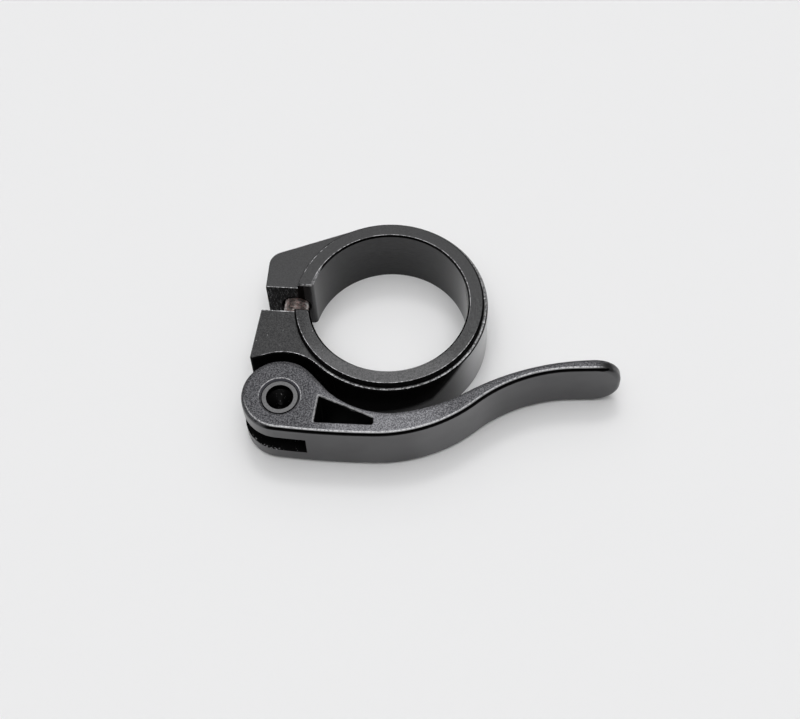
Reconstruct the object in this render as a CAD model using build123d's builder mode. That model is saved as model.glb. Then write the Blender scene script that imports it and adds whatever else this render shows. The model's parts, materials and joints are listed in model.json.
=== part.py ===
from build123d import *
import os
from math import atan2, cos, degrees, radians, sin, sqrt, tan

# Quick-release seatpost clamp: a split collar closed by a bolt, a barrel nut and a cam lever.
# Frame: origin on the bore axis at the collar's bottom face, +Z along the bore towards the raised rim,
# lugs towards -X, bolt along Y with its head towards +Y and the lever towards -Y.
# Driving dimensions are in millimetres and degrees.

# Collar ring
tube_diameter = 31.8
collar_wall = 3.92
rim_wall = 3.14
shoulder_height = 12.9
rim_height = 1.3
bore_chamfer = 0.35
edge_break = 0.25

# Slit and lugs
slit_width = 5.5
slit_corner = 0.9
lug_slope = 23.5
lug_corner = 3.2
lug_flare = 4.5
lip_corner = 0.5
inner_land = 0.75
outer_land = 1.35

# Bolt
bolt_diameter = 5.0
bolt_length = 32.0
bolt_end_chamfer = 0.6
bolt_head_diameter = 8.5
bolt_head_height = 5.0
bolt_head_chamfer = 0.4
socket_width = 4.0
socket_depth = 2.6
head_land = 4.05
bolt_clearance = 0.35
head_clearance = 0.25
seat_clearance = 0.05

# Barrel nut
barrel_diameter = 7.3
barrel_sink = 0.25
barrel_chamfer = 0.15
barrel_end_bore = 5.4
barrel_bore_depth = 1.6
barrel_drill_angle = 118.0
running_clearance = 0.05

# Lever head, a cam whose round face stands off centre from the pivot
lever_width = 12.6
cam_radius = 7.65
cam_offset = 0.55
cam_slack = 1.55
seat_sweep = 62.0
fork_clearance = 0.1
fork_reach = 5.5
pivot_chamfer = 0.35
lever_edge = 0.85

# Lever handle: three tangent arcs and a straight tip along its outer face, and its thickness where they meet
heel_angle = 266.4
belly_radius = 169.0
belly_sweep = 6.5
bend_radius = 30.8
bend_sweep = 40.8
return_radius = 30.8
return_sweep = 38.8
tip_run = 9.4
root_thickness = 4.95
bend_thickness = 3.36
tip_thickness = 2.55
tip_corner = 5.5
web_angle = 45.0

# Wedge-shaped window between the lever's head and its handle: where along the belly and the web its corners stand,
# and the walls left round it
window_heel = 0.40
window_nose = 1.0
window_apex = 0.72
belly_wall = 2.3
web_wall = 2.25
nose_wall = 1.2
window_corner = 0.35
window_edge = 0.2

# Places that follow from the driving dimensions
bore_radius = tube_diameter / 2
ring_radius = bore_radius + collar_wall
rim_radius = bore_radius + rim_wall
collar_height = shoulder_height + rim_height
mid_height = shoulder_height / 2
hole_radius = bolt_diameter / 2 + bolt_clearance
counterbore_radius = bolt_head_diameter / 2 + head_clearance
bolt_offset = bore_radius + inner_land + hole_radius
lug_face = bolt_offset + counterbore_radius + outer_land
head_seat = slit_width / 2 + head_land
fork_height = bolt_diameter + 2 * fork_clearance
barrel_length = lever_width - 2 * barrel_sink
drill_point = barrel_end_bore / 2 / tan(radians(barrel_drill_angle / 2))

# The cam seat is an arc about the pivot, tangent to the ring's outer wall at one end, that runs out straight
# to the front lug's face at the other
seat_radius = cam_radius + cam_offset + cam_slack
pivot = Vector(-bolt_offset, -sqrt((ring_radius + seat_radius) ** 2 - bolt_offset**2))
seat_angle = degrees(atan2(pivot.Y, pivot.X))
cam_centre = pivot + Vector(0, cam_offset)
web_tangent = Vector(sin(radians(web_angle)), -cos(radians(web_angle)))

# Rear lug's corner in plan, and the line of the lugs' outer face
rear_angle = 90 + lug_slope
rear_corner = (-lug_face, (ring_radius - lug_face * sin(radians(lug_slope))) / cos(radians(lug_slope)))
face_start = Vector(-lug_face, 0)
face_run = Vector(-sin(radians(lug_flare)), -cos(radians(lug_flare)))

# Working planes: counterbore floor, underside of the bolt's head, underside of the lever, barrel nut's middle
seat_plane = Plane(origin=(-bolt_offset, head_seat, mid_height), x_dir=(1, 0, 0), z_dir=(0, -1, 0))
head_plane = seat_plane.offset(-seat_clearance)
lever_base = Plane.XY.offset(mid_height - lever_width / 2)
barrel_side = Plane(origin=pivot + Vector(0, 0, mid_height), x_dir=(1, 0, 0), z_dir=(0, -1, 0))


def left_normal(curve, position):
    """The direction square to a curve, to its left."""
    return (curve % position).rotate(Axis.Z, 90)


def left_of(curve, position, distance):
    """A point beside a curve, to its left."""
    return (curve @ position) + left_normal(curve, position) * distance


# Collar: ring and lugs in one outline, the rim, the bore with its slit, then the bolt's hole and counterbore
with BuildPart() as collar:
    with BuildSketch() as collar_plan:
        with BuildLine():
            ring = CenterArc((0, 0), ring_radius, seat_angle, rear_angle - seat_angle)
            Line(ring @ 1, rear_corner)
            Line(rear_corner, face_start)
            seat = CenterArc(pivot, seat_radius, seat_angle + 180, seat_sweep)
            face_line = Line(face_start, face_start + face_run * ring_radius, mode=Mode.PRIVATE)
            lip = IntersectingLine(seat @ 1, seat % 1, face_line)
            Line(lip @ 1, face_start)
        make_face()
        fillet(collar_plan.vertices().sort_by_distance(rear_corner)[0], lug_corner)
        fillet(collar_plan.vertices().sort_by_distance(lip @ 1)[0], lip_corner)
    extrude(amount=shoulder_height)
    chamfer(collar.edges().group_by(Axis.Z)[-1] + collar.edges().group_by(Axis.Z)[0], edge_break)
    with BuildSketch(Plane.XY.offset(shoulder_height)):
        Circle(rim_radius)
    extrude(amount=rim_height)
    with BuildSketch() as opening:
        Circle(bore_radius)
        with Locations((-lug_face, 0)):
            Rectangle(2 * lug_face, slit_width)
        fillet(opening.vertices().group_by(Axis.X)[-1], slit_corner)
    extrude(amount=collar_height, mode=Mode.SUBTRACT)
    chamfer(collar.faces().sort_by(Axis.Z)[-1].edges(), bore_chamfer)
    with BuildSketch(seat_plane):
        Circle(hole_radius)
    extrude(amount=head_seat - pivot.Y, mode=Mode.SUBTRACT)
    with BuildSketch(seat_plane):
        Circle(counterbore_radius)
    extrude(amount=-ring_radius, mode=Mode.SUBTRACT)
collar.part.label = "collar"

# Lever: plan outline with a rounded tip, its edges (one smooth chain, so the cam's edge brings the rest along),
# then the pivot hole, the window and the fork slot
with BuildPart() as lever:
    with BuildSketch(lever_base):
        with BuildLine():
            cam = CenterArc(cam_centre, cam_radius, web_angle, heel_angle - web_angle)
            belly = JernArc(cam @ 1, cam % 1, belly_radius, belly_sweep)
            bend = JernArc(belly @ 1, belly % 1, bend_radius, bend_sweep)
            back = JernArc(bend @ 1, bend % 1, return_radius, -return_sweep)
            tip = Line(back @ 1, (back @ 1) + (back % 1) * tip_run)
            root = left_of(bend, 0, root_thickness)
            root_line = Line(root, root - (bend % 0) * belly_radius, mode=Mode.PRIVATE)
            crook_corner = IntersectingLine(cam @ 0, web_tangent, root_line, mode=Mode.PRIVATE) @ 1
            web = Line(cam @ 0, crook_corner - web_tangent * (root - crook_corner).length)
            crook = TangentArc(web @ 1, root, tangent=web_tangent)
            inner_bend = TangentArc(root, left_of(back, 0, bend_thickness), tangent=bend % 0)
            end = Line(left_of(tip, 1, tip_thickness), tip @ 1)
            turn = (inner_bend % 1).get_angle(tip % 1)
            rise = (end @ 0 - inner_bend @ 1).dot(left_normal(tip, 1))
            inner_back = JernArc(inner_bend @ 1, inner_bend % 1, rise / (1 - cos(radians(turn))), -turn)
            Line(inner_back @ 1, end @ 0)
        make_face()
    extrude(amount=lever_width)
    lever_reach = 2 * lever.part.bounding_box().diagonal
    tip_side = Plane(origin=(tip @ 1) + Vector(0, 0, mid_height), x_dir=tip % 1, z_dir=left_normal(tip, 1))
    with BuildSketch(tip_side) as side_outline:
        Rectangle(lever_reach, lever_width, align=(Align.MAX, Align.CENTER))
        fillet(side_outline.vertices().group_by(Axis.X)[-1], tip_corner)
    extrude(amount=lever_reach, both=True, mode=Mode.INTERSECT)
    cam_edge = lever.edges().filter_by(GeomType.CIRCLE).sort_by(Axis.X)[0]
    fillet(cam_edge, lever_edge)
    with BuildSketch(lever_base):
        with Locations(pivot):
            Circle(barrel_diameter / 2 + running_clearance)
    extrude(amount=lever_width, mode=Mode.SUBTRACT)
    pivot_edges = lever.edges(Select.LAST).group_by(Axis.Z)
    chamfer(pivot_edges[0] + pivot_edges[-1], pivot_chamfer)
    with BuildSketch(lever_base) as window:
        Polygon(
            left_of(belly, window_heel, belly_wall),
            left_of(belly, window_nose, belly_wall),
            left_of(crook, 1, -nose_wall),
            left_of(web, window_apex, -web_wall),
            align=None,
        )
        fillet(window.vertices(), window_corner)
    extrude(amount=lever_width, mode=Mode.SUBTRACT)
    window_edges = lever.edges(Select.LAST).group_by(Axis.Z)
    chamfer(window_edges[0] + window_edges[-1], window_edge)
    with BuildSketch(Plane.XY.offset(mid_height - fork_height / 2)):
        with Locations((pivot.X + fork_reach, pivot.Y)):
            Rectangle(4 * cam_radius, 4 * cam_radius, align=(Align.MAX, Align.CENTER))
    extrude(amount=fork_height, mode=Mode.SUBTRACT)
lever.part.label = "lever"

# Barrel nut: a turned pin, drilled in each end and across for the bolt
with BuildPart() as barrel_nut:
    with BuildSketch(barrel_side):
        with BuildLine():
            Polyline(
                (0, 0),
                (barrel_diameter / 2, 0),
                (barrel_diameter / 2, barrel_length / 2 - barrel_chamfer),
                (barrel_diameter / 2 - barrel_chamfer, barrel_length / 2),
                (barrel_end_bore / 2, barrel_length / 2),
                (barrel_end_bore / 2, barrel_length / 2 - barrel_bore_depth),
                (0, barrel_length / 2 - barrel_bore_depth - drill_point),
                close=True,
            )
        make_face()
        mirror(about=Plane.XZ)
    revolve(axis=Axis(barrel_side.origin, (0, 0, 1)))
    with BuildSketch(head_plane):
        Circle(bolt_diameter / 2 + running_clearance)
    extrude(amount=bolt_length + barrel_diameter, mode=Mode.SUBTRACT)
barrel_nut.part.label = "barrel_nut"

# Bolt: socket-head cap screw
with BuildPart() as bolt:
    with BuildSketch(head_plane):
        Circle(bolt_head_diameter / 2)
    extrude(amount=-bolt_head_height)
    chamfer(bolt.faces().sort_by(Axis.Y)[-1].edges(), bolt_head_chamfer)
    with BuildSketch(head_plane.offset(-bolt_head_height)):
        RegularPolygon(socket_width / 2, 6, major_radius=False)
    extrude(amount=socket_depth, mode=Mode.SUBTRACT)
    with BuildSketch(head_plane):
        Circle(bolt_diameter / 2)
    extrude(amount=bolt_length)
    chamfer(bolt.faces().sort_by(Axis.Y)[0].edges(), bolt_end_chamfer)
bolt.part.label = "bolt"

os.makedirs("parts", exist_ok=True)
export_step(collar.part, "parts/collar.step")
export_step(lever.part, "parts/lever.step")
export_step(barrel_nut.part, "parts/barrel_nut.step")
export_step(bolt.part, "parts/bolt.step")
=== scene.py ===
import json
from math import cos, pi, radians, sin, sqrt, tan

import bmesh
import bpy
from mathutils import Matrix, Vector


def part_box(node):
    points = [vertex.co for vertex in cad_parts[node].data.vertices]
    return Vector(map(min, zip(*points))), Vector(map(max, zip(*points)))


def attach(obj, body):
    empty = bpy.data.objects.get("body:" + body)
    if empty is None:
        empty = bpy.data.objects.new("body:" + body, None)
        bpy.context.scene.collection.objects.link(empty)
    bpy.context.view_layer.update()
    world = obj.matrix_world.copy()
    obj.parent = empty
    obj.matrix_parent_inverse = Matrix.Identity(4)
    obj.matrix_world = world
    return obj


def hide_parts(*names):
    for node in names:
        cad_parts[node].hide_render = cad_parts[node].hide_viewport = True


# Looks of a quick-release seatpost clamp: black anodised collar and lever, dark barrel nut,
# threaded steel bolt. Lengths are in metres, in the frame of the solids: bore along Z, lugs
# at -X, bolt along Y with its head at +Y and the lever at -Y.

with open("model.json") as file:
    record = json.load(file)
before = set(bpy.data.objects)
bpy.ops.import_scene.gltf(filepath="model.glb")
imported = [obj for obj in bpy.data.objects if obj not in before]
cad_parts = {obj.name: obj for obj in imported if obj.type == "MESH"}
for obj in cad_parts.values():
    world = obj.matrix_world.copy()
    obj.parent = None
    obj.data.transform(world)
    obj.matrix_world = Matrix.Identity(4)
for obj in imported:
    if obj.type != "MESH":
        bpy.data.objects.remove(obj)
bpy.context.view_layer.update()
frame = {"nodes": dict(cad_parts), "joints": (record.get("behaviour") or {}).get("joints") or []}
NODES = frame["nodes"]
JOINTS = {joint["name"]: joint for joint in frame["joints"]}
PIVOT = Vector(JOINTS["lever_swing"]["pos_m"])
BOLT_PLACE = Vector(JOINTS["bolt_turn"]["pos_m"])
MM = 0.001


def span(start, end):
    """Two places given in millimetres, such as where a finish starts and where it is full."""
    return (start * MM, end * MM)


def grey(level, blue=1.02):
    """A grey, slightly blue unless told otherwise."""
    return (level, level, level * blue)


# Masks: a thin line's half-width and softness, as for the worn edges with painted highlights, how far
# a mask reaches past a face, and the directions across an upright axis and across the bolt's
EDGE_LINE = 0.09 * MM
EDGE_BLUR = 0.03 * MM
SKIN = 0.05 * MM
ACROSS_UPRIGHT = (1.0, 1.0, 0.0)
ACROSS_BOLT = (1.0, 0.0, 1.0)

# Collar: radii from the bore's axis, heights and half-widths, where its finish changes
BORE_RADIUS = 15.9 * MM
RIM_RADIUS = 19.04 * MM
RIM_BREAK = 0.35 * MM
SHOULDER_WIDTH = 0.53 * MM
SHOULDER_HEIGHT = 12.9 * MM
SEAT_EDGE_RADIUS = 10.0 * MM
SLIT_HALF = 2.75 * MM
# Painted shade round the mouth of the bolt's hole in the slit's faces: its reach from the bolt's axis
HOLE_SHADE_REACH = span(3.25, 3.0)

# Collar: where along Y its halves, its lugs' and rims' finishes, the near rim's painted sheen and its
# wear with painted highlights start and are full
NEAR_HALF = span(3.0, -8.0)
FAR_HALF = span(-6.0, 5.0)
REAR_LUG = span(1.0, 5.0)
NEAR_RIM_SHEEN = span(-9.0, -15.0)
NEAR_RIM_WEAR_HIGHLIGHT = span(-4.0, -8.0)
REAR_RIM_WEAR_HIGHLIGHT = span(4.0, 7.0)
SHOULDER_FADE = span(-12.0, 0.0)

# Collar: the same along X, with where the painted reflection on its outer wall starts, and across the
# slit's faces
FRONT_LUG = span(-15.0, -17.0)
REFLECTION_WALL = span(13.0, 19.0)
SHOULDER_WEAR_HIGHLIGHT = span(-13.5, -10.0)
REAR_RIM_REACH = span(-12.0, -14.0)
RIM_CORNER = span(-14.0, -14.8)
RIM_CORNER_HEIGHT = (SHOULDER_HEIGHT + 0.8 * MM, SHOULDER_HEIGHT + 0.9 * MM)
SLIT_SCRATCHED = span(-18.9, -19.2)
# Painted shade in a stripe across the slit's faces beside the bore, and a painted reflection strip at the
# bore's edge
SLIT_SHADE_STRIPE = span(-18.85, -17.7)
SLIT_SHADE_BLUR = 0.1 * MM
SLIT_REFLECTION = span(-17.7, -17.6)

# Collar: painted shade on its wall behind the lever, above the higher of two lines, height against X
SHADE_LOW_SLOPE = 0.2
SHADE_LOW_HEIGHT = 4.3 * MM
SHADE_STEEP_SLOPE = 1.15
SHADE_STEEP_DROP = 5.1 * MM
SHADE_EDGE = span(-1.5, 1.0)

# Collar: tones, in pairs where a pattern mixes them, and roughness of its walls and flats
FLAT_TONES = (grey(0.034), grey(0.062))
FRONT_LUG_TONES = (grey(0.023), grey(0.05))
NEAR_RIM_SHEEN_TONES = (grey(0.05), grey(0.095))
WALL_TONES = (grey(0.036), grey(0.048))
PAINTED_REFLECTION_TONE = grey(0.2)
COLLAR_SHADE_TONE = grey(0.004)
SLIT_TONES = (grey(0.026), grey(0.19))
SLIT_REFLECTION_TONE = grey(0.06)
SLIT_SHADE_TONE = grey(0.003)
COLLAR_SPECK_TONE = grey(0.4)
COLLAR_WEAR_HIGHLIGHT_TONE = grey(0.42)
COLLAR_ROUGHNESS = (0.14, 0.45)
REAR_LUG_GRAIN = 0.4

# Lever: its cam, the ring round its pivot and the fork slot
CAM_RADIUS = 7.65 * MM
CAM_OFFSET = Vector((0.0, 0.55, 0.0)) * MM
PIVOT_RING = 4.05 * MM
PIVOT_SINK = 0.45 * MM
FAR_OF_PIVOT = (PIVOT.y - 2.0 * MM, PIVOT.y + 2.0 * MM)
HEAD_END = (PIVOT.x - 1.0 * MM, PIVOT.x - 4.0 * MM)
SLOT_HALF = 2.62 * MM
SLOT_FLOOR = 2.6 * MM
SLOT_END = (PIVOT.x + 5.6 * MM, PIVOT.x + 5.55 * MM)
SLOT_LIP = (PIVOT.x - 5.0 * MM, PIVOT.x)
SLOT_LIP_BLUR = 1.0 * MM
SLOT_LIP_WIDTH = 0.5 * MM

# Lever: how far under the top face its rounded edges change, and where along X its handle does
FAR_EDGE_DEPTH = 0.9 * MM
UNDER_EDGE_DEPTH = 1.0 * MM
COLLAR_SIDE_DEPTH = 1.1 * MM
DEPTH_BLUR = 0.2 * MM
HANDLE = span(10.0, 20.0)
RUBBED = span(-6.0, 8.0)
RUBBED_BLUR = 9.0 * MM
# Painted reflection on the lever's sides where the handle bends: where along X, and its blur
BEND_REFLECTION = span(11.0, 19.0)
BEND_REFLECTION_BLUR = 6.0 * MM

# Lever's window in plan: its reach along X, its near side, its apex, the directions square to
# its heel side and its far side, and where the worn lines with painted highlights along those two end
WINDOW_REACH = span(-14.5, 3.0)
WINDOW_NEAR = -28.2 * MM
WINDOW_APEX = Vector((-11.93, -21.61, 0.0)) * MM
WINDOW_HEEL_SIDE = (-0.998, 0.061, 0.0)
WINDOW_FAR_SIDE = (0.349, 0.937, 0.0)
WINDOW_HEEL_END = -27.2 * MM
WINDOW_FAR_END = -1.2 * MM
WINDOW_LINE = 0.36 * MM

# Lever: tones, in pairs where a pattern mixes them, and roughness of its sides and flats
HEAD_TONES = (grey(0.022, 1.1), grey(0.125, 1.06))
HANDLE_TONES = (grey(0.03, 1.1), grey(0.155, 1.05))
RUBBED_TONES = (grey(0.06, 1.1), grey(0.22, 1.05))
SIDE_TONES = (grey(0.092), grey(0.108))
BEND_REFLECTION_TONES = (grey(0.13), grey(0.15))
LEVER_SHADE_TONE = grey(0.006)
SLOT_GLINT_TONE = grey(0.3)
COUNTERSINK_HIGHLIGHT_TONE = grey(0.07, 1.15)
LEVER_WEAR_HIGHLIGHT_TONE = grey(0.34)
LEVER_ROUGHNESS = (0.3, 0.5)

# Lever's web between the window and the handle's crook: an arc in plan along its far side
WEB_CENTRE = Vector((1.078, -6.317, 0.0)) * MM
WEB_RADIUS = 18.02 * MM
WEB_START = -1.1 * MM
WEB_END = 14.9 * MM
WEB_STEPS = 48
WEB_ROUND = 0.45 * MM
WEB_ROUND_STEPS = 8
WEB_CHAMFER = 0.2 * MM
WEB_SINK = 0.02 * MM

# Barrel nut: painted shade and painted glints for its body and bores, tones of its end rings, and its
# roughness
NUT_SHADE_AND_GLINT_TONES = (grey(0.004), grey(0.12))
NUT_RING_TONES = (grey(0.05), grey(0.1))
NUT_ROUGHNESS = (0.3, 0.45)

# Bolt: a metric thread of 5 mm under a knurled head with a hexagon socket
BOLT_RADIUS = 2.5 * MM
BOLT_LENGTH = 32.0 * MM
BOLT_TIP_CHAMFER = 0.6 * MM
THREAD_PITCH = 0.8 * MM
THREAD_DEPTH = 0.49 * MM
THREAD_PLAIN = 0.9 * MM
THREAD_ROWS = 8
THREAD_SIDES = 48
SHANK_SINK = 0.2 * MM
HEAD_RADIUS = 4.25 * MM
HEAD_HEIGHT = 5.0 * MM
HEAD_CHAMFER = 0.4 * MM
HEAD_UNDER_CHAMFER = 0.2 * MM
HEAD_ROW = 0.2 * MM
KNURL_COUNT = 72
KNURL_SIDES = 4
KNURL_DEPTH = 0.13 * MM
KNURL_PLAIN = 0.8 * MM
SOCKET_WIDTH = 4.0 * MM
SOCKET_DEPTH = 2.6 * MM
SOCKET_SIDES = 6

# Ribs of the thread and the knurl: shares of a pitch that are flat, and how close points weld
ROOT_FLAT = 0.12
CREST_FLAT = 0.06
WELD_REACH = 0.0005 * MM
LOOP_REACH = 0.02 * MM
SHARP_ANGLE = radians(32.0)

# Bolt: tones of its steel, of the residue in the thread and of the painted shade on its end inside the
# lever
STEEL_TONES = ((0.2, 0.19, 0.185), (0.62, 0.6, 0.58))
RESIDUE_TONE = (0.34, 0.225, 0.21)
RESIDUE_FADE = 2.0 * MM
BOLT_SHADE_TONE = grey(0.02)
BOLT_SHADED = (-SLIT_HALF - 4.0 * MM, -SLIT_HALF - 6.0 * MM)
STEEL_ROUGHNESS = (0.3, 0.65)

# Camera: turned about the bore from the front, raised above the table, rolled a little, long lens
CAMERA_TURN = radians(7.2)
CAMERA_RISE = radians(59.683)
CAMERA_ROLL = radians(-2.938)
CAMERA_DISTANCE = 310.1 * MM
CAMERA_TARGET = Vector((2.27, -5.01, 0.0)) * MM
CAMERA_CLIP = 10.0 * MM
FOCAL_PIXELS = 1502.0
IMAGE_WIDTH = 800.0
SENSOR_WIDTH = 36.0
TO_CAMERA = Vector((sin(CAMERA_TURN), -cos(CAMERA_TURN), 0.0))
TO_RIGHT = Vector((cos(CAMERA_TURN), sin(CAMERA_TURN), 0.0))

# Light: two softboxes overhead, one on the camera's side of the zenith and one beyond it, with a
# soft skirt round them, in a dim room that is dark behind the camera, and one weak key lamp
FAR_BOX_LIGHT = 2.0
NEAR_BOX_LIGHT = 2.9
BOX_INNER = radians(2.0)
BOX_OUTER = radians(30.0)
BOX_SIDE = radians(19.0)
BOX_BLUR = 0.08
SKIRT_LIGHT = 0.6
SKIRT_TILT = radians(10.0)
SKIRT_CORE = radians(34.0)
SKIRT_EDGE = radians(54.0)
ROOM_LIGHT = 0.15
ROOM_DARK = 0.02
HORIZON = (0.0, 0.1)
BEHIND_CAMERA = (0.2, 0.7)
KEY_STRENGTH = 0.26
KEY_RISE = radians(67.0)
KEY_TURN = radians(8.0)
KEY_SPREAD = radians(9.0)

# Floor: a pale sheet with faint clouds
FLOOR_HALF = 2.0
FLOOR_CLOUD = 0.12
FLOOR_COLOUR = (0.845, 0.845, 0.85)
FLOOR_SHADE = 0.995


class NodeBench:
    """Short calls that add nodes to a tree and join them."""

    def __init__(self, tree):
        self.tree = tree

    def add(self, kind, **settings):
        made = self.tree.nodes.new(kind)
        for key, value in settings.items():
            setattr(made, key, value)
        return made

    def put(self, socket, value):
        """Sets a socket to a value, or joins it to another node's output."""
        if isinstance(value, bpy.types.NodeSocket):
            self.tree.links.new(value, socket)
        else:
            socket.default_value = value

    def math(self, operation, *values):
        made = self.add("ShaderNodeMath", operation=operation)
        for socket, value in zip(made.inputs, values):
            self.put(socket, value)
        return made.outputs["Value"]

    def vector(self, operation, *values):
        made = self.add("ShaderNodeVectorMath", operation=operation)
        for socket, value in zip(made.inputs, values):
            self.put(socket, value)
        return made.outputs["Value" if operation in ("LENGTH", "DOT_PRODUCT") else "Vector"]

    def axis(self, vector, letter):
        made = self.add("ShaderNodeSeparateXYZ")
        self.put(made.inputs["Vector"], vector)
        return made.outputs[letter]

    def ramp(self, value, low, high, from_value=0.0, to_value=1.0, kind="SMOOTHSTEP"):
        """A step from from_value at low to to_value at high."""
        made = self.add("ShaderNodeMapRange", interpolation_type=kind)
        for name, number in (
            ("Value", value),
            ("From Min", low),
            ("From Max", high),
            ("To Min", from_value),
            ("To Max", to_value),
        ):
            self.put(made.inputs[name], number)
        return made.outputs["Result"]

    def band(self, value, low, high, blur):
        """One between low and high, and nothing outside, with soft ends."""
        risen = self.ramp(value, low - blur, low)
        return self.math("MULTIPLY", risen, self.ramp(value, high, high + blur, 1.0, 0.0))


class Finish(NodeBench):
    """A material, and short calls for the patterns that it is made of."""

    def __init__(self, name):
        self.material = bpy.data.materials.new(name)
        self.material.use_nodes = True
        super().__init__(self.material.node_tree)
        self.shader = self.tree.nodes["Principled BSDF"]
        self.place = self.add("ShaderNodeTexCoord").outputs["Object"]
        self.normal = self.add("ShaderNodeNewGeometry").outputs["Normal"]

    def noise(self, size, detail=2.0, roughness=0.5, stretch=(1.0, 1.0, 1.0)):
        """Noise whose grain is about size across, stretched along the axes."""
        mapping = self.add("ShaderNodeMapping")
        self.put(mapping.inputs["Vector"], self.place)
        mapping.inputs["Scale"].default_value = [1.0 / axis for axis in stretch]
        made = self.add("ShaderNodeTexNoise")
        self.put(made.inputs["Vector"], mapping.outputs["Vector"])
        made.inputs["Scale"].default_value = 1.0 / size
        made.inputs["Detail"].default_value = detail
        made.inputs["Roughness"].default_value = roughness
        return made.outputs["Fac"]

    def radius(self, centre=(0.0, 0.0, 0.0), across=ACROSS_UPRIGHT):
        """How far a point stands from an axis, an upright one unless told otherwise."""
        offset = self.vector("SUBTRACT", self.place, centre)
        return self.vector("LENGTH", self.vector("MULTIPLY", offset, across))

    def product(self, *masks):
        """What all of the masks cover."""
        covered = masks[0]
        for mask in masks[1:]:
            covered = self.math("MULTIPLY", covered, mask)
        return covered

    def any_of(self, *masks):
        """What any of the masks covers."""
        covered = masks[0]
        for mask in masks[1:]:
            covered = self.math("MAXIMUM", covered, mask)
        return covered

    def line(self, value, place):
        """A thin line where a value is at a place."""
        return self.band(value, place - EDGE_LINE, place + EDGE_LINE, EDGE_BLUR)

    def fade(self, mask, at_none, at_full):
        """A number that goes from one value to another as a mask goes from nothing to full."""
        return self.ramp(mask, 0.0, 1.0, at_none, at_full)

    def paint(self, socket, colour):
        """Sets a colour socket to a colour, or joins it to another node's output."""
        self.put(socket, (*colour, 1.0) if isinstance(colour, tuple) else colour)

    def mix(self, factor, first, second):
        """A colour between two colours."""
        made = self.add("ShaderNodeMix", data_type="RGBA")
        self.put(made.inputs["Factor"], factor)
        for name, colour in (("A", first), ("B", second)):
            self.paint([s for s in made.inputs if s.name == name and s.type == "RGBA"][0], colour)
        return [s for s in made.outputs if s.type == "RGBA"][0]

    def bump(self, height, distance, strength):
        made = self.add("ShaderNodeBump")
        self.put(made.inputs["Height"], height)
        made.inputs["Distance"].default_value = distance
        made.inputs["Strength"].default_value = strength
        return made.outputs["Normal"]

    def surface(self, colour, roughness, normal=None, metallic=1.0, specular=0.5):
        self.paint(self.shader.inputs["Base Color"], colour)
        self.put(self.shader.inputs["Roughness"], roughness)
        self.put(self.shader.inputs["Metallic"], metallic)
        self.put(self.shader.inputs["Specular IOR Level"], specular)
        if normal is not None:
            self.put(self.shader.inputs["Normal"], normal)


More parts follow.
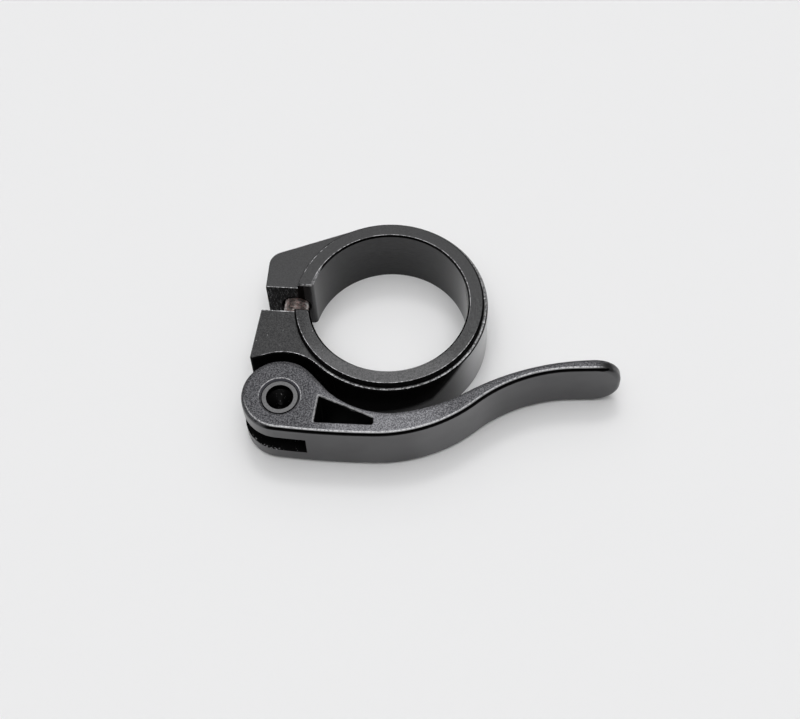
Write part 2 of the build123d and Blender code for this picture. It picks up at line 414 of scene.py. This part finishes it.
def black_collar():
    """Black anodising over machined aluminium: grainy flats, glossy walls, worn edges with painted
    highlights, a scratched slit, painted shade on sheltered walls and in the slit, a painted sheen on the
    near rim and painted reflections on the +X wall and at the slit's edge.
    """
    f = Finish("collar_black")
    x, y, z = (f.axis(f.place, letter) for letter in "XYZ")
    up, facing = (f.axis(f.normal, letter) for letter in "ZY")
    from_slit = f.math("ABSOLUTE", y)
    radius = f.radius()
    from_pivot = f.radius(PIVOT)
    rim_foot = (SHOULDER_HEIGHT + SKIN, SHOULDER_HEIGHT + 2 * SKIN)
    on_flat = f.ramp(f.math("ABSOLUTE", up), 0.93, 0.99)
    on_top = f.product(on_flat, f.ramp(z, SHOULDER_HEIGHT - 2 * SKIN, SHOULDER_HEIGHT - SKIN))
    on_rim = f.ramp(z, *rim_foot)
    below_rim = f.ramp(z, *rim_foot, 1.0, 0.0)
    near_half = f.ramp(y, *NEAR_HALF)
    scuffs = f.noise(0.5 * MM, detail=4.0, roughness=0.65)

    # Flats have a fine grain, fainter on the rear lug, and a few specks, and the near rim's flats a painted
    # sheen; walls have turning streaks
    grain = f.noise(0.22 * MM, detail=2.0, roughness=0.6)
    coarse = f.ramp(y, *REAR_LUG, 1.0, REAR_LUG_GRAIN)
    spread = f.math("MULTIPLY_ADD", f.ramp(grain, 0.3, 0.7, -0.5, 0.5), coarse, 0.5)
    front_lug = f.product(f.ramp(x, *FRONT_LUG), f.ramp(y, 0.0, -SLIT_HALF))
    # Painted sheen: the near rim's flats are painted lighter
    near_rim_sheen = f.product(on_rim, f.ramp(y, *NEAR_RIM_SHEEN))
    flat = f.mix(front_lug, f.mix(spread, *FLAT_TONES), f.mix(spread, *FRONT_LUG_TONES))
    flat = f.mix(near_rim_sheen, flat, f.mix(spread, *NEAR_RIM_SHEEN_TONES))
    dots = f.ramp(f.noise(0.3 * MM, detail=1.0), 0.77, 0.81)
    specks = f.product(on_top, near_half, dots)
    streaks = f.noise(1.4 * MM, detail=3.0, roughness=0.55, stretch=(1.0, 1.0, 0.12))
    wall = f.mix(f.ramp(streaks, 0.3, 0.7), *WALL_TONES)
    # Painted reflection: the outer wall on the +X side is painted paler, for the lit floor it mirrors
    wall = f.mix(f.ramp(x, *REFLECTION_WALL), wall, PAINTED_REFLECTION_TONE)

    # Painted shade: sheltered walls are painted dark, the rim's own riser, the cam seat, and the ring's
    # wall behind the lever
    rim_edge_radius = RIM_RADIUS - RIM_BREAK
    shoulder_edge_radius = RIM_RADIUS + SHOULDER_WIDTH
    riser = f.product(
        f.ramp(radius, rim_edge_radius - SKIN, rim_edge_radius),
        f.ramp(z, SHOULDER_HEIGHT, SHOULDER_HEIGHT + SKIN),
    )
    in_seat = f.ramp(from_pivot, SEAT_EDGE_RADIUS, SEAT_EDGE_RADIUS + 2 * SKIN, 1.0, 0.0)
    shade_low = f.math("ADD", f.math("MULTIPLY", x, SHADE_LOW_SLOPE), SHADE_LOW_HEIGHT)
    shade_steep = f.math("SUBTRACT", f.math("MULTIPLY", x, SHADE_STEEP_SLOPE), SHADE_STEEP_DROP)
    above_shade = f.math("SUBTRACT", z, f.math("MAXIMUM", shade_low, shade_steep))
    behind_lever = f.product(
        f.ramp(facing, -0.2, -0.5),
        f.ramp(radius, shoulder_edge_radius - SKIN, shoulder_edge_radius),
        f.ramp(above_shade, *SHADE_EDGE),
    )
    painted_shade = f.any_of(riser, in_seat, behind_lever)
    wall = f.mix(painted_shade, wall, COLLAR_SHADE_TONE)

    # Worn places, also painted as highlights: the shoulder beside the rim, the rim's edges, the edges of
    # the cam seat and of the slit, and the rim's rear corner at the slit
    shoulder = f.product(
        f.band(radius, RIM_RADIUS + SHOULDER_WIDTH / 3, shoulder_edge_radius, EDGE_BLUR),
        below_rim,
        f.ramp(x, *SHOULDER_WEAR_HIGHLIGHT),
        f.ramp(y, *SHOULDER_FADE, 1.0, 0.35),
    )
    rim_line = f.line(radius, rim_edge_radius)
    near_rim_edge = f.product(rim_line, near_half, f.ramp(y, *NEAR_RIM_WEAR_HIGHLIGHT))
    rear_rim_edge = f.product(
        rim_line,
        f.ramp(y, *REAR_RIM_WEAR_HIGHLIGHT),
        f.ramp(x, *REAR_RIM_REACH, 0.0, 0.7),
        f.ramp(scuffs, 0.47, 0.56),
    )
    bore_edge = f.product(f.line(radius, BORE_RADIUS + RIM_BREAK), f.ramp(y, *FAR_HALF))
    seat_edge = f.product(f.line(from_pivot, SEAT_EDGE_RADIUS), below_rim)
    slit_edge = f.product(f.line(from_slit, SLIT_HALF + EDGE_LINE / 2), below_rim)
    edges = f.any_of(shoulder, near_rim_edge, rear_rim_edge, bore_edge, seat_edge, slit_edge)
    wear_and_highlight = f.product(on_top, edges, f.ramp(scuffs, 0.4, 0.6, 0.1, 1.0))
    rim_corner = f.product(
        f.band(up, 0.55, 0.85, 0.1),
        f.ramp(z, *RIM_CORNER_HEIGHT),
        f.ramp(y, 0.0, SLIT_HALF),
        f.ramp(x, *RIM_CORNER),
        f.ramp(radius, rim_edge_radius - RIM_BREAK, rim_edge_radius, 1.0, 0.25),
        f.ramp(scuffs, 0.4, 0.6, 0.45, 0.9),
    )

    # The slit's faces: scratched, with a stripe of painted shade beside the bore, a strip of painted
    # reflection at the bore's edge and painted shade round the mouth of the hole
    in_slit = f.product(
        f.line(from_slit, SLIT_HALF),
        f.ramp(x, -BORE_RADIUS, -BORE_RADIUS - SKIN),
        f.ramp(f.math("ABSOLUTE", facing), 0.9, 0.97),
    )
    scored = f.noise(0.5 * MM, detail=4.0, roughness=0.7, stretch=(0.35, 1.0, 1.5))
    scratches = f.product(f.ramp(scored, 0.5, 0.68), f.ramp(x, *SLIT_SCRATCHED))
    # Painted shade round the mouth of the bolt's hole
    hole_shade = f.ramp(f.radius(BOLT_PLACE, ACROSS_BOLT), *HOLE_SHADE_REACH)
    # Painted reflection strip at the bore's edge, and a stripe of painted shade beside it
    slit_face = f.mix(f.ramp(x, *SLIT_REFLECTION), f.mix(scratches, *SLIT_TONES), SLIT_REFLECTION_TONE)
    slit_face = f.mix(f.band(x, *SLIT_SHADE_STRIPE, SLIT_SHADE_BLUR), slit_face, SLIT_SHADE_TONE)
    slit_face = f.mix(hole_shade, slit_face, SLIT_SHADE_TONE)
    scratches = f.product(scratches, f.fade(hole_shade, 1.0, 0.0))

    colour = f.mix(in_slit, f.mix(on_flat, wall, flat), slit_face)
    colour = f.mix(specks, colour, COLLAR_SPECK_TONE)
    colour = f.mix(f.any_of(wear_and_highlight, rim_corner), colour, COLLAR_WEAR_HIGHLIGHT_TONE)
    dull = f.any_of(
        rim_corner,
        f.product(painted_shade, f.fade(on_flat, 0.8, 0.0)),
        f.product(in_slit, f.fade(scratches, 0.3, 0.8)),
    )
    f.surface(
        colour,
        f.fade(f.any_of(on_flat, in_slit), *COLLAR_ROUGHNESS),
        f.bump(f.product(grain, on_flat, coarse), 0.008 * MM, 0.6),
        metallic=f.fade(dull, 1.0, 0.0),
        specular=0.0,
    )
    return f


def black_lever():
    """Black anodising: a blasted grain on the flats, satin sides, worn edges with painted highlights,
    painted shade in the window and slot, and painted reflections and glints.
    """
    f = Finish("lever_black")
    x, y, z = (f.axis(f.place, letter) for letter in "XYZ")
    up = f.math("ABSOLUTE", f.axis(f.normal, "Z"))
    facing = f.axis(f.normal, "Y")
    from_pivot = f.radius(PIVOT)
    low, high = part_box("lever")
    bottom, top = low[2], high[2]
    middle = (bottom + top) / 2

    def within_top(depth):
        """What lies less than a depth under the top face."""
        return f.ramp(z, top - depth, top - depth + DEPTH_BLUR)

    # Flats, and the top edge's rounding where it looks like them, on the far side and at the head's end
    outside = f.any_of(
        f.ramp(z, top - 4 * SKIN, top - 2 * SKIN),
        f.ramp(z, bottom + 2 * SKIN, bottom + 4 * SKIN, 1.0, 0.0),
    )
    at_head_end = f.ramp(x, *HEAD_END)
    on_far_edge = f.product(
        within_top(FAR_EDGE_DEPTH),
        f.ramp(up, 0.5, 0.72),
        f.any_of(f.ramp(facing, 0.05, 0.2), f.product(at_head_end, f.ramp(up, 0.98, 0.94))),
    )
    on_flat = f.any_of(f.product(outside, f.ramp(up, 0.95, 0.995)), on_far_edge)

    # Flats are blasted, and rubbed lighter where the handle leaves the head
    grain = f.noise(0.27 * MM, detail=3.0, roughness=0.7)
    spread = f.ramp(grain, 0.36, 0.68)
    flat = f.mix(f.ramp(x, *HANDLE), f.mix(spread, *HEAD_TONES), f.mix(spread, *HANDLE_TONES))
    flat = f.mix(f.band(x, *RUBBED, RUBBED_BLUR), flat, f.mix(spread, *RUBBED_TONES))

    # Sides are satin, with a painted reflection where the handle bends, and painted shade in the
    # window, in the fork slot, towards the collar and under the near top edge
    cloud = f.ramp(f.noise(9.0 * MM, detail=3.0), 0.3, 0.7)
    from_apex = f.vector("SUBTRACT", f.place, WINDOW_APEX)
    from_heel_side = f.vector("DOT_PRODUCT", from_apex, WINDOW_HEEL_SIDE)
    from_far_side = f.vector("DOT_PRODUCT", from_apex, WINDOW_FAR_SIDE)
    in_window = f.product(
        f.band(x, *WINDOW_REACH, SKIN),
        f.ramp(y, WINDOW_NEAR - SKIN, WINDOW_NEAR),
        f.ramp(from_far_side, 2 * SKIN, SKIN),
    )
    in_slot = f.product(
        f.band(z, middle - SLOT_HALF, middle + SLOT_HALF, SKIN / 2), f.ramp(x, *SLOT_END)
    )
    by_collar = f.product(f.ramp(facing, 0.1, 0.5), within_top(COLLAR_SIDE_DEPTH))
    painted_shade = f.any_of(in_window, in_slot, by_collar)
    painted_edge_shade = f.product(
        within_top(UNDER_EDGE_DEPTH),
        f.band(up, 0.25, 0.82, 0.08),
        f.ramp(facing, -0.05, -0.2),
        f.fade(at_head_end, 1.0, 0.0),
    )
    # Painted glints: bright specks on the fork slot's faces
    slot_glints = f.product(in_slot, f.ramp(f.noise(0.35 * MM), 0.68, 0.76))
    # Painted reflection: the sides are painted lighter where the handle bends
    side = f.mix(f.band(x, *BEND_REFLECTION, BEND_REFLECTION_BLUR), f.mix(cloud, *SIDE_TONES), f.mix(cloud, *BEND_REFLECTION_TONES))
    side = f.mix(f.any_of(painted_shade, painted_edge_shade), side, LEVER_SHADE_TONE)
    side = f.mix(slot_glints, side, SLOT_GLINT_TONE)

    # Worn places, also painted as highlights: the near top edge, two of the window's edges, the
    # fork slot's lip and the ring round the pivot
    scuffs = f.ramp(f.noise(0.4 * MM, detail=4.0, roughness=0.7), 0.35, 0.6)
    outer_edge = f.product(f.band(up, 0.95, 0.995, 0.03), f.ramp(facing, -0.02, -0.1))
    heel_line = f.product(
        f.band(from_heel_side, 0.0, WINDOW_LINE, EDGE_BLUR),
        f.band(y, WINDOW_HEEL_END, WINDOW_APEX.y, WINDOW_LINE),
    )
    far_line = f.product(
        f.band(from_far_side, 0.0, WINDOW_LINE, EDGE_BLUR),
        f.band(x, WINDOW_APEX.x, WINDOW_FAR_END, WINDOW_LINE),
    )
    window_edge = f.product(f.any_of(heel_line, far_line), outside, f.ramp(up, 0.5, 0.7))
    lip_radius = CAM_RADIUS - SLOT_LIP_WIDTH
    slot_lip = f.product(
        f.line(z, middle - SLOT_FLOOR),
        f.ramp(f.radius(PIVOT + CAM_OFFSET), lip_radius, lip_radius + SLOT_LIP_WIDTH / 2),
        f.band(x, *SLOT_LIP, SLOT_LIP_BLUR),
        f.ramp(f.noise(0.4 * MM), 0.55, 0.64),
    )
    far_of_pivot = f.ramp(y, *FAR_OF_PIVOT)
    pivot_edge = f.product(f.line(from_pivot, PIVOT_RING + EDGE_LINE), on_flat, far_of_pivot)
    # Painted highlight: the countersink round the pivot is painted lighter on its far side
    countersink_highlight = f.product(
        f.ramp(from_pivot, PIVOT_RING, PIVOT_RING - SKIN),
        f.ramp(z, top - PIVOT_SINK, top - PIVOT_SINK + SKIN),
        f.ramp(up, 0.3, 0.6),
        far_of_pivot,
    )
    wear_and_highlight = f.any_of(
        f.product(f.any_of(outer_edge, pivot_edge), scuffs),
        f.product(window_edge, f.fade(scuffs, 0.4, 1.0)),
        slot_lip,
    )

    colour = f.mix(wear_and_highlight, f.mix(on_flat, side, flat), LEVER_WEAR_HIGHLIGHT_TONE)
    colour = f.mix(countersink_highlight, colour, COUNTERSINK_HIGHLIGHT_TONE)
    dull = f.any_of(
        on_far_edge,
        countersink_highlight,
        f.product(window_edge, wear_and_highlight),
        f.product(painted_shade, f.fade(on_flat, 0.8, 0.0)),
    )
    f.surface(
        colour,
        f.fade(f.any_of(on_flat, wear_and_highlight), *LEVER_ROUGHNESS),
        f.bump(f.product(grain, on_flat), 0.015 * MM, 0.8),
        metallic=f.fade(dull, 1.0, 0.0),
        specular=0.0,
    )
    return f


def dark_nut():
    """Steel, turned grey on the end rings; the rest and the bores are painted shade with painted glints."""
    f = Finish("nut_dark")
    z = f.axis(f.place, "Z")
    low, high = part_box("barrel_nut")
    at_end = f.any_of(
        f.ramp(z, high[2] - 2 * SKIN, high[2] - SKIN),
        f.ramp(z, low[2] + SKIN, low[2] + 2 * SKIN, 1.0, 0.0),
    )
    end_ring = f.product(at_end, f.ramp(f.math("ABSOLUTE", f.axis(f.normal, "Z")), 0.5, 0.9))
    scratch = f.noise(0.3 * MM, detail=3.0, roughness=0.6)
    specks = f.ramp(f.noise(0.6 * MM, detail=3.0, roughness=0.6), 0.6, 0.72)
    # Painted shade down the bores and on the body, with painted glints
    bore = f.mix(specks, *NUT_SHADE_AND_GLINT_TONES)
    turned = f.mix(f.ramp(scratch, 0.3, 0.7), *NUT_RING_TONES)
    f.surface(
        f.mix(end_ring, bore, turned),
        f.ramp(scratch, 0.3, 0.7, *NUT_ROUGHNESS),
        f.bump(scratch, 0.01 * MM, 0.5),
    )
    return f


def bolt_steel():
    """Plain steel with a reddish-brown residue in the thread, and painted shade towards the barrel nut,
    inside the lever.
    """
    f = Finish("bolt_steel")
    along = f.axis(f.place, "Y")
    head_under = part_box("bolt")[1][1] - HEAD_HEIGHT
    in_thread = f.ramp(along, head_under - RESIDUE_FADE, head_under, 1.0, 0.0)
    caked = f.ramp(f.noise(0.55 * MM, detail=4.0, roughness=0.7), 0.42, 0.62, 0.0, 0.85)
    residue = f.product(in_thread, caked)
    tarnish = f.ramp(f.noise(0.6 * MM, detail=4.0, roughness=0.65), 0.3, 0.7)
    colour = f.mix(residue, f.mix(tarnish, *STEEL_TONES), RESIDUE_TONE)
    # Painted shade: the bolt's end inside the lever's head is painted dark
    colour = f.mix(f.ramp(along, *BOLT_SHADED), colour, BOLT_SHADE_TONE)
    f.surface(
        colour,
        f.fade(residue, *STEEL_ROUGHNESS),
        f.bump(f.noise(0.2 * MM), 0.012 * MM, 0.5),
        metallic=f.fade(residue, 1.0, 0.3),
    )
    return f


def pale_floor():
    """A matt pale sheet."""
    f = Finish("floor_pale")
    shaded = tuple(part * FLOOR_SHADE for part in FLOOR_COLOUR)
    f.surface(f.mix(f.noise(FLOOR_CLOUD), FLOOR_COLOUR, shaded), 0.9, metallic=0.0, specular=0.1)
    return f


def give(piece, finish):
    """Puts one finish on all of a piece's faces."""
    piece.data.materials.clear()
    piece.data.materials.append(finish.material)
    piece.data.polygons.foreach_set("material_index", [0] * len(piece.data.polygons))


def add_object(name, data):
    """Adds a mesh, a lamp or a camera to the scene."""
    piece = bpy.data.objects.new(name, data)
    bpy.context.scene.collection.objects.link(piece)
    return piece


def finished_piece(name, work):
    """A piece from a worked mesh, smooth but for its sharp edges."""
    bmesh.ops.recalc_face_normals(work, faces=work.faces)
    mesh = bpy.data.meshes.new(name)
    work.to_mesh(mesh)
    work.free()
    mesh.polygons.foreach_set("use_smooth", [True] * len(mesh.polygons))
    mesh.set_sharp_from_angle(angle=SHARP_ANGLE)
    return add_object(name, mesh)


def ribbed_tube():
    """A tree for a tube from Start along -Y, whose ribs wind round it as a thread or run along it
    as a knurl."""
    tree = bpy.data.node_groups.new("ribbed_tube", "GeometryNodeTree")
    for name, kind in (
        ("Start", "Vector"),
        ("Length", "Float"),
        ("Radius", "Float"),
        ("Depth", "Float"),
        ("Lead", "Float"),
        ("Ribs Along", "Float"),
        ("Ribs Around", "Float"),
        ("Start Plain", "Float"),
        ("End Plain", "Float"),
        ("Start Chamfer", "Float"),
        ("End Chamfer", "Float"),
        ("Rows", "Int"),
        ("Sides", "Int"),
        ("Finish", "Material"),
    ):
        tree.interface.new_socket(name, in_out="INPUT", socket_type="NodeSocket" + kind)
    tree.interface.new_socket("Tube", in_out="OUTPUT", socket_type="NodeSocketGeometry")
    b = NodeBench(tree)
    given = b.add("NodeGroupInput").outputs

    # A flat sheet, whose rows follow the ribs' climb and whose columns go round the tube
    sheet_length = b.math("ADD", given["Length"], given["Lead"])
    sheet = b.add("GeometryNodeMeshGrid")
    b.put(sheet.inputs["Size X"], sheet_length)
    b.put(sheet.inputs["Size Y"], 1.0)
    b.put(sheet.inputs["Vertices X"], given["Rows"])
    b.put(sheet.inputs["Vertices Y"], b.math("ADD", given["Sides"], 1.0))
    spot = b.add("GeometryNodeInputPosition").outputs["Position"]
    row = b.math("ADD", b.axis(spot, "X"), b.math("MULTIPLY", sheet_length, 0.5))
    round_share = b.math("ADD", b.axis(spot, "Y"), 0.5)
    still_to_climb = b.math("MULTIPLY", b.math("SUBTRACT", round_share, 1.0), given["Lead"])
    climbed = b.math("ADD", row, still_to_climb)
    along = b.math("MAXIMUM", 0.0, b.math("MINIMUM", climbed, given["Length"]))
    left = b.math("SUBTRACT", given["Length"], along)

    # Grooves between the ribs, faded out over the plain ends, and the chamfers
    ribs_along = b.math("MULTIPLY", row, given["Ribs Along"])
    ribs_around = b.math("MULTIPLY", round_share, given["Ribs Around"])
    phase = b.math("PINGPONG", b.math("SUBTRACT", ribs_along, ribs_around), 0.5)
    groove = b.ramp(phase, ROOT_FLAT, 0.5 - CREST_FLAT, 1.0, 0.0, "LINEAR")
    for passed, plain in ((along, given["Start Plain"]), (left, given["End Plain"])):
        groove = b.math("MULTIPLY", groove, b.ramp(passed, plain, b.math("MULTIPLY", plain, 2.0)))
    wall = b.math("SUBTRACT", given["Radius"], b.math("MULTIPLY", groove, given["Depth"]))
    start_cone = b.math("ADD", b.math("SUBTRACT", given["Radius"], given["Start Chamfer"]), along)
    end_cone = b.math("ADD", b.math("SUBTRACT", given["Radius"], given["End Chamfer"]), left)
    radius = b.math("MINIMUM", wall, b.math("MINIMUM", start_cone, end_cone))

    # The sheet rolled up about the axis and welded at its seam
    angle = b.math("MULTIPLY", round_share, 2 * pi)
    rolled = b.add("ShaderNodeCombineXYZ")
    b.put(rolled.inputs["X"], b.math("MULTIPLY", radius, b.math("COSINE", angle)))
    b.put(rolled.inputs["Y"], b.math("MULTIPLY", along, -1.0))
    b.put(rolled.inputs["Z"], b.math("MULTIPLY", radius, b.math("SINE", angle)))
    moved = b.add("GeometryNodeSetPosition")
    b.put(moved.inputs["Geometry"], sheet.outputs["Mesh"])
    b.put(moved.inputs["Position"], b.vector("ADD", rolled.outputs["Vector"], given["Start"]))
    welded = b.add("GeometryNodeMergeByDistance")
    b.put(welded.inputs["Geometry"], moved.outputs["Geometry"])
    b.put(welded.inputs["Distance"], WELD_REACH)
    realized = b.add("GeometryNodeRealizeInstances")
    b.put(realized.inputs["Geometry"], welded.outputs["Geometry"])
    dressed = b.add("GeometryNodeSetMaterial")
    b.put(dressed.inputs["Geometry"], realized.outputs["Geometry"])
    b.put(dressed.inputs["Material"], given["Finish"])
    b.put(b.add("NodeGroupOutput").inputs["Tube"], dressed.outputs["Geometry"])
    return tree


def grown(tree, sizes):
    """The plain mesh that a tree makes at the given sizes."""
    carrier = add_object("carrier", bpy.data.meshes.new("carrier"))
    modifier = carrier.modifiers.new("grow", "NODES")
    modifier.node_group = tree
    for item in tree.interface.items_tree:
        if item.in_out == "INPUT":
            modifier[item.identifier] = sizes[item.name]
    evaluated = carrier.evaluated_get(bpy.context.evaluated_depsgraph_get())
    mesh = bpy.data.meshes.new_from_object(evaluated)
    bpy.data.objects.remove(carrier)
    return mesh


def open_loop(work, place):
    """The open edges at one place along the bolt."""
    return [
        edge
        for edge in work.edges
        if edge.is_boundary and all(abs(v.co.y - place) < LOOP_REACH for v in edge.verts)
    ]


def bolt_piece(finish):
    """The threaded shank and the knurled head with its socket, in one closed mesh each."""
    head_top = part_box("bolt")[1][1]
    head_under = head_top - HEAD_HEIGHT
    shank_length = BOLT_LENGTH + SHANK_SINK
    tube = ribbed_tube()
    thread = grown(tube, {
        "Start": (BOLT_PLACE.x, head_under + SHANK_SINK, BOLT_PLACE.z),
        "Length": shank_length,
        "Radius": BOLT_RADIUS,
        "Depth": THREAD_DEPTH,
        "Lead": THREAD_PITCH,
        "Ribs Along": 1.0 / THREAD_PITCH,
        "Ribs Around": 0.0,
        "Start Plain": THREAD_PLAIN,
        "End Plain": SKIN,
        "Start Chamfer": 0.0,
        "End Chamfer": BOLT_TIP_CHAMFER,
        "Rows": round((shank_length + THREAD_PITCH) / THREAD_PITCH * THREAD_ROWS) + 1,
        "Sides": THREAD_SIDES,
        "Finish": finish.material,
    })
    knurl = grown(tube, {
        "Start": (BOLT_PLACE.x, head_top, BOLT_PLACE.z),
        "Length": HEAD_HEIGHT,
        "Radius": HEAD_RADIUS,
        "Depth": KNURL_DEPTH,
        "Lead": 0.0,
        "Ribs Along": 0.0,
        "Ribs Around": float(KNURL_COUNT),
        "Start Plain": KNURL_PLAIN,
        "End Plain": KNURL_PLAIN / 2,
        "Start Chamfer": HEAD_CHAMFER,
        "End Chamfer": HEAD_UNDER_CHAMFER,
        "Rows": round(HEAD_HEIGHT / HEAD_ROW) + 1,
        "Sides": KNURL_COUNT * KNURL_SIDES,
        "Finish": finish.material,
    })
    work = bmesh.new()
    work.from_mesh(thread)
    work.from_mesh(knurl)

    # Head's end face round the socket, then the socket's sides and floor, then the open ends
    corner = SOCKET_WIDTH / 2 / cos(pi / SOCKET_SIDES)
    turns = [2 * pi * k / SOCKET_SIDES for k in range(SOCKET_SIDES)]
    mouth, floor = (
        [
            work.verts.new(
                (BOLT_PLACE.x + corner * cos(turn), head_top - depth, BOLT_PLACE.z + corner * sin(turn))
            )
            for turn in turns
        ]
        for depth in (0.0, SOCKET_DEPTH)
    )
    mouth_edges = [work.edges.new((mouth[k - 1], mouth[k])) for k in range(SOCKET_SIDES)]
    bmesh.ops.triangle_fill(work, edges=open_loop(work, head_top) + mouth_edges, use_beauty=True)
    for k in range(SOCKET_SIDES):
        work.faces.new((mouth[k - 1], mouth[k], floor[k], floor[k - 1]))
    work.faces.new(floor)
    bmesh.ops.holes_fill(work, edges=[edge for edge in work.edges if edge.is_boundary], sides=0)
    return finished_piece("bolt_threaded", work)


def lever_web():
    """The web between the lever's window and the crook of its handle, lofted along the window and
    rounded on the far side."""
    low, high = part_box("lever")
    middle = (low[2] + high[2]) / 2
    half = (high[2] - low[2]) / 2 - WEB_SINK / 4
    across = Vector(WINDOW_FAR_SIDE).normalized()
    along = Vector((across.y, -across.x, 0.0))
    turns = [pi / 2 * step / WEB_ROUND_STEPS for step in range(WEB_ROUND_STEPS + 1)]
    work = bmesh.new()
    loops = []
    for step in range(WEB_STEPS + 1):
        reach = WEB_START + (WEB_END - WEB_START) * step / WEB_STEPS
        inner = WINDOW_APEX + along * reach + across * WEB_SINK
        to_centre = WEB_CENTRE - inner
        width = to_centre.dot(across) - sqrt(WEB_RADIUS**2 - to_centre.dot(along) ** 2)
        upper = [(0.0, half - WEB_CHAMFER), (WEB_CHAMFER, half)]
        upper += [
            (width - WEB_ROUND * (1 - sin(turn)), half - WEB_ROUND * (1 - cos(turn)))
            for turn in turns
        ]
        outline = upper + [(side, -rise) for side, rise in reversed(upper)]
        loops.append([
            work.verts.new(inner + across * side + Vector((0.0, 0.0, middle + rise)))
            for side, rise in outline
        ])
    for near, far in zip(loops, loops[1:]):
        for k in range(len(near)):
            work.faces.new((near[k - 1], near[k], far[k], far[k - 1]))
    for cap in (loops[0], loops[-1]):
        work.faces.new(cap)
    return finished_piece("lever_web", work)


def floor_piece():
    """The flat sheet that the clamp lies on."""
    corners = ((-1, -1), (1, -1), (1, 1), (-1, 1))
    mesh = bpy.data.meshes.new("floor")
    mesh.from_pydata([(x * FLOOR_HALF, y * FLOOR_HALF, 0.0) for x, y in corners], [], [(0, 1, 2, 3)])
    return add_object("floor", mesh)


def room():
    """Two softboxes overhead with a skirt, little light from the walls, and less from behind the camera."""
    world = bpy.data.worlds.new("room")
    world.use_nodes = True
    b = NodeBench(world.node_tree)
    background = b.tree.nodes["Background"]
    direction = b.add("ShaderNodeTexCoord").outputs["Generated"]
    height = b.axis(direction, "Z")
    towards_camera = b.vector("DOT_PRODUCT", direction, TO_CAMERA)
    towards_right = b.vector("DOT_PRODUCT", direction, TO_RIGHT)

    # The boxes lie on a level ceiling, so their edges are slopes: sideways parts over the upward part
    forward = b.math("DIVIDE", towards_camera, height)
    aside = b.math("ABSOLUTE", b.math("DIVIDE", towards_right, height))
    side_edge = tan(BOX_SIDE)
    within = b.ramp(aside, side_edge - BOX_BLUR, side_edge + BOX_BLUR, 1.0, 0.0)
    within = b.math("MULTIPLY", b.ramp(height, *HORIZON), within)
    near_box = b.band(forward, tan(BOX_INNER), tan(BOX_OUTER), BOX_BLUR)
    far_box = b.band(forward, -tan(BOX_OUTER), -tan(BOX_INNER), BOX_BLUR)
    boxes = b.math(
        "ADD",
        b.math("MULTIPLY", near_box, NEAR_BOX_LIGHT),
        b.math("MULTIPLY", far_box, FAR_BOX_LIGHT),
    )
    softbox = b.math("MULTIPLY", within, boxes)

    skirt_axis = Vector((0.0, 0.0, cos(SKIRT_TILT))) - TO_CAMERA * sin(SKIRT_TILT)
    above = b.vector("DOT_PRODUCT", direction, skirt_axis)
    skirt = b.ramp(above, cos(SKIRT_EDGE), cos(SKIRT_CORE), 0.0, SKIRT_LIGHT)
    walls = b.ramp(towards_camera, *BEHIND_CAMERA, ROOM_LIGHT, ROOM_DARK)
    b.put(background.inputs["Strength"], b.math("ADD", b.math("ADD", softbox, skirt), walls))
    background.inputs["Color"].default_value = (1.0, 1.0, 1.0, 1.0)
    bpy.context.scene.world = world


def key_lamp():
    """A weak, broad lamp from high on the far side."""
    lamp = bpy.data.lights.new("key", "SUN")
    lamp.energy = KEY_STRENGTH
    lamp.angle = KEY_SPREAD
    level = cos(KEY_RISE)
    towards = Vector((-sin(KEY_TURN) * level, cos(KEY_TURN) * level, sin(KEY_RISE)))
    add_object("key", lamp).rotation_euler = towards.to_track_quat("Z", "Y").to_euler()


def camera():
    """A long lens that looks down at the clamp from the front."""
    data = bpy.data.cameras.new("camera")
    data.sensor_fit = "HORIZONTAL"
    data.sensor_width = SENSOR_WIDTH
    data.lens = FOCAL_PIXELS * SENSOR_WIDTH / IMAGE_WIDTH
    data.clip_start = CAMERA_CLIP
    piece = add_object("camera", data)
    back = TO_CAMERA * cos(CAMERA_RISE) + Vector((0.0, 0.0, sin(CAMERA_RISE)))
    level_up = back.cross(TO_RIGHT)
    right = TO_RIGHT * cos(CAMERA_ROLL) + level_up * sin(CAMERA_ROLL)
    up = level_up * cos(CAMERA_ROLL) - TO_RIGHT * sin(CAMERA_ROLL)
    turn = Matrix((right, up, back)).transposed().to_4x4()
    piece.matrix_world = Matrix.Translation(CAMERA_TARGET + back * CAMERA_DISTANCE) @ turn
    bpy.context.scene.camera = piece


floor = floor_piece()
give(floor, pale_floor())

lever_finish = black_lever()
for node, finish in (("collar", black_collar()), ("lever", lever_finish), ("barrel_nut", dark_nut())):
    give(NODES[node], finish)

web = lever_web()
give(web, lever_finish)
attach(web, "lever")

steel = bolt_steel()
bolt = bolt_piece(steel)
give(bolt, steel)
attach(bolt, "bolt")
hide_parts("bolt")

room()
key_lamp()
camera()
bpy.context.scene.view_settings.view_transform = "Standard"
